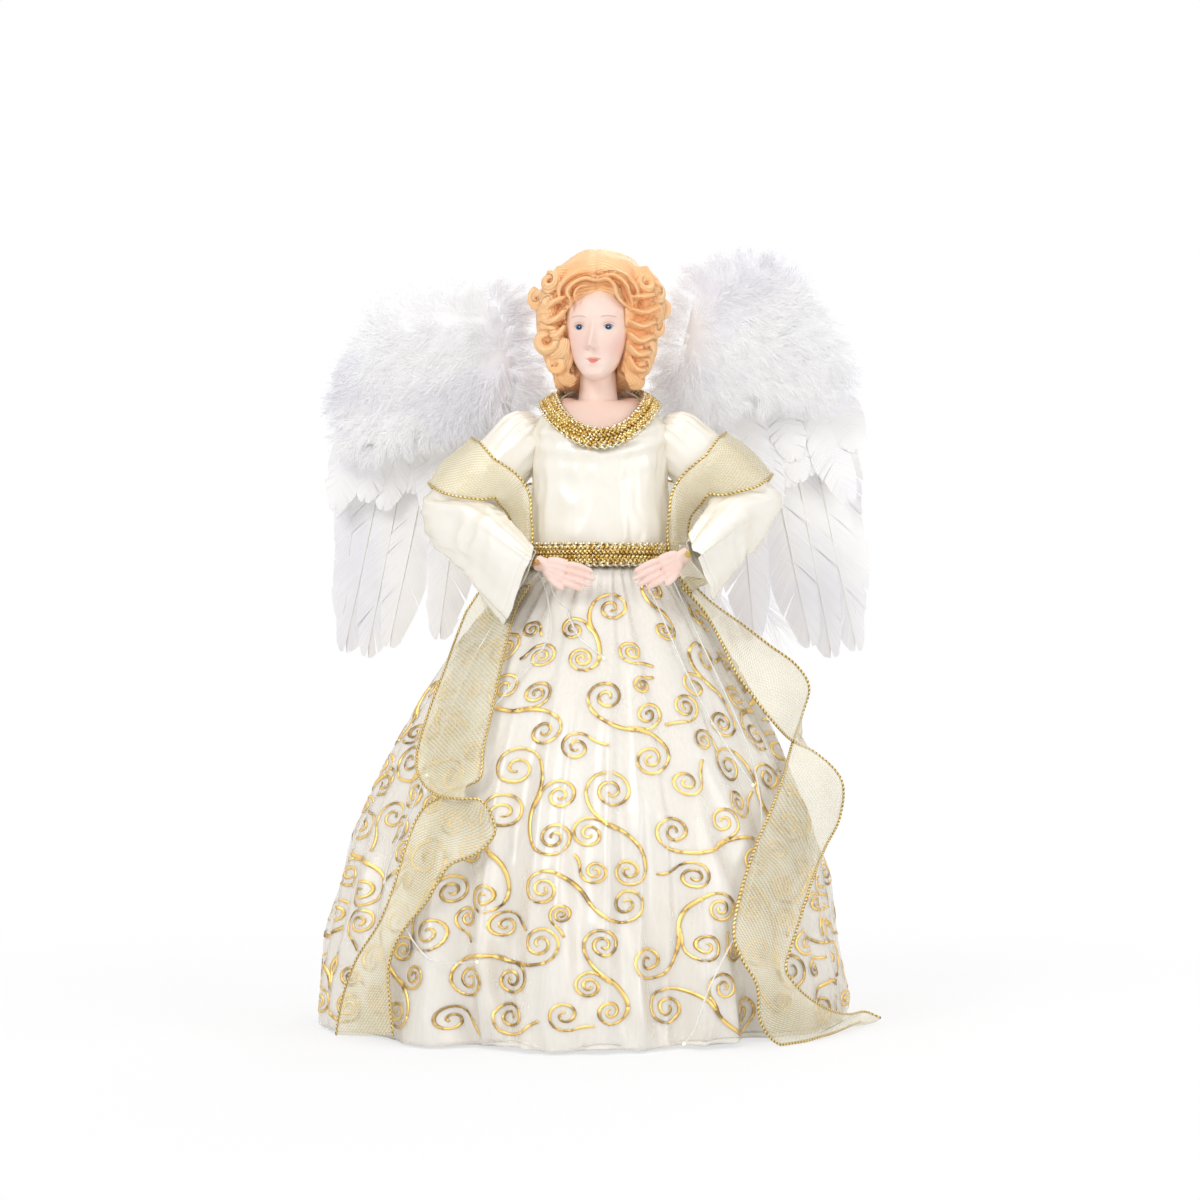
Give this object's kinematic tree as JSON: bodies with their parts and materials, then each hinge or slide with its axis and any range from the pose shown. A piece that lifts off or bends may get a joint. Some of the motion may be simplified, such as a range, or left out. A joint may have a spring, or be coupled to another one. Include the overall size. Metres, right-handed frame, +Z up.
{
  "type": "tree topper",
  "caption": "Angel tree topper: bell skirt over a cone socket, feather wings, bell sleeves, ribbon shawl and battery-lit fibre strands.",
  "frame": {"origin": "on the floor under the middle of the topper, which is the cone's axis to within a millimetre", "axes": "+Z up through the head, -Y towards the viewer (the face), +X to the viewer's right"},
  "size_m": [0.2187, 0.202, 0.305],
  "materials": {
    "cone_card": "plain board, smooth",
    "skirt_satin": "glossy satin, ivory",
    "skirt_organza": "sheer organza with gold foil scrolls",
    "body_form": "stuffed cloth",
    "wire": "drawn wire",
    "dress_satin": "satin, ivory",
    "painted_head": "painted, satin",
    "gold_braid": "metallic gold braid",
    "hand_plastic": "moulded, pale pink",
    "bead": "cut glass bead",
    "ribbon_organza": "sheer wired ribbon, pale gold",
    "down": "white down",
    "feather": "white feather",
    "wing_card": "white card",
    "box_plastic": "fine grained",
    "cell_can": "printed sleeve, plain",
    "contact": "plated spring steel",
    "switch_plastic": "black, ribbed",
    "board": "green lacquer",
    "lamp": "clear epoxy",
    "ferrule": "black",
    "fibre": "clear light guide"
  },
  "bodies": {
    "dress": {"tree_cone": "cone_card", "skirt_lining": "skirt_satin", "skirt_overlay": "skirt_organza", "torso_form": "body_form", "shoulder_wire": "wire", "bodice": "dress_satin", "head_casting": "painted_head", "waist_braid": "gold_braid", "neck_braid": "gold_braid", "ribbon_shawl": "ribbon_organza", "battery_box": "box_plastic", "cell_left": "cell_can", "cell_right": "cell_can", "contact_bridge": "contact", "contact_minus": "contact", "contact_plus": "contact", "driver_board": "board", "led_lamp": "lamp", "fibre_ferrule": "ferrule", "fibre_bundle": "fibre", "strand_1": "fibre", "strand_2": "fibre", "strand_3": "fibre", "strand_4": "fibre", "strand_5": "fibre"},
    "left_arm": {"left_upper_arm": "body_form", "left_sleeve": "dress_satin"},
    "left_lower_arm": {"left_forearm": "body_form", "left_hand": "hand_plastic", "left_wrist_bead": "bead"},
    "right_arm": {"right_upper_arm": "body_form", "right_sleeve": "dress_satin"},
    "right_lower_arm": {"right_forearm": "body_form", "right_hand": "hand_plastic", "right_wrist_bead": "bead"},
    "left_wing": {"left_wing_fluff": "down", "left_wing_card": "wing_card", "left_wing_stem": "wire", "left_feather_1": "feather", "left_feather_2": "feather", "left_feather_3": "feather", "left_feather_4": "feather", "left_feather_5": "feather", "left_feather_6": "feather", "left_feather_7": "feather"},
    "right_wing": {"right_wing_fluff": "down", "right_wing_card": "wing_card", "right_wing_stem": "wire", "right_feather_1": "feather", "right_feather_2": "feather", "right_feather_3": "feather", "right_feather_4": "feather", "right_feather_5": "feather", "right_feather_6": "feather", "right_feather_7": "feather"},
    "cover": {"battery_cover": "box_plastic"},
    "switch": {"switch_slider": "switch_plastic"}
  },
  "joints": [
    {"name": "left_shoulder", "type": "hinge", "parent": "dress", "child": "left_arm", "pos_m": [-0.0305, 0.003, 0.2285], "axis": [-1, 0, 0], "range_deg": [0, 40], "deforming": ["left_sleeve", "ribbon_shawl"]},
    {"name": "left_elbow", "type": "hinge", "parent": "left_arm", "child": "left_lower_arm", "pos_m": [-0.057, 0.003, 0.2005], "axis": [0, 0, -1], "range_deg": [0, 35], "deforming": ["left_sleeve", "ribbon_shawl"]},
    {"name": "right_shoulder", "type": "hinge", "parent": "dress", "child": "right_arm", "pos_m": [0.0305, 0.003, 0.2285], "axis": [-1, 0, 0], "range_deg": [0, 40], "deforming": ["right_sleeve", "ribbon_shawl"]},
    {"name": "right_elbow", "type": "hinge", "parent": "right_arm", "child": "right_lower_arm", "pos_m": [0.058, 0.003, 0.2035], "axis": [0, 0, 1], "range_deg": [0, 35], "deforming": ["right_sleeve", "ribbon_shawl"]},
    {"name": "left_wing_bend", "type": "hinge", "parent": "dress", "child": "left_wing", "pos_m": [-0.014, 0.01756, 0.2355], "axis": [0.0164, 0.1556, -0.9877], "range_deg": [0, 30]},
    {"name": "right_wing_bend", "type": "hinge", "parent": "dress", "child": "right_wing", "pos_m": [0.014, 0.01756, 0.2355], "axis": [0.0164, -0.1556, 0.9877], "range_deg": [0, 30]},
    {"name": "battery_cover_slide", "type": "slide", "parent": "dress", "child": "cover", "axis": [0, 0, -1], "range_m": [0, 0.048]},
    {"name": "switch_slide", "type": "slide", "parent": "dress", "child": "switch", "axis": [1, 0, 0], "range_m": [0, 0.003]}
  ]
}
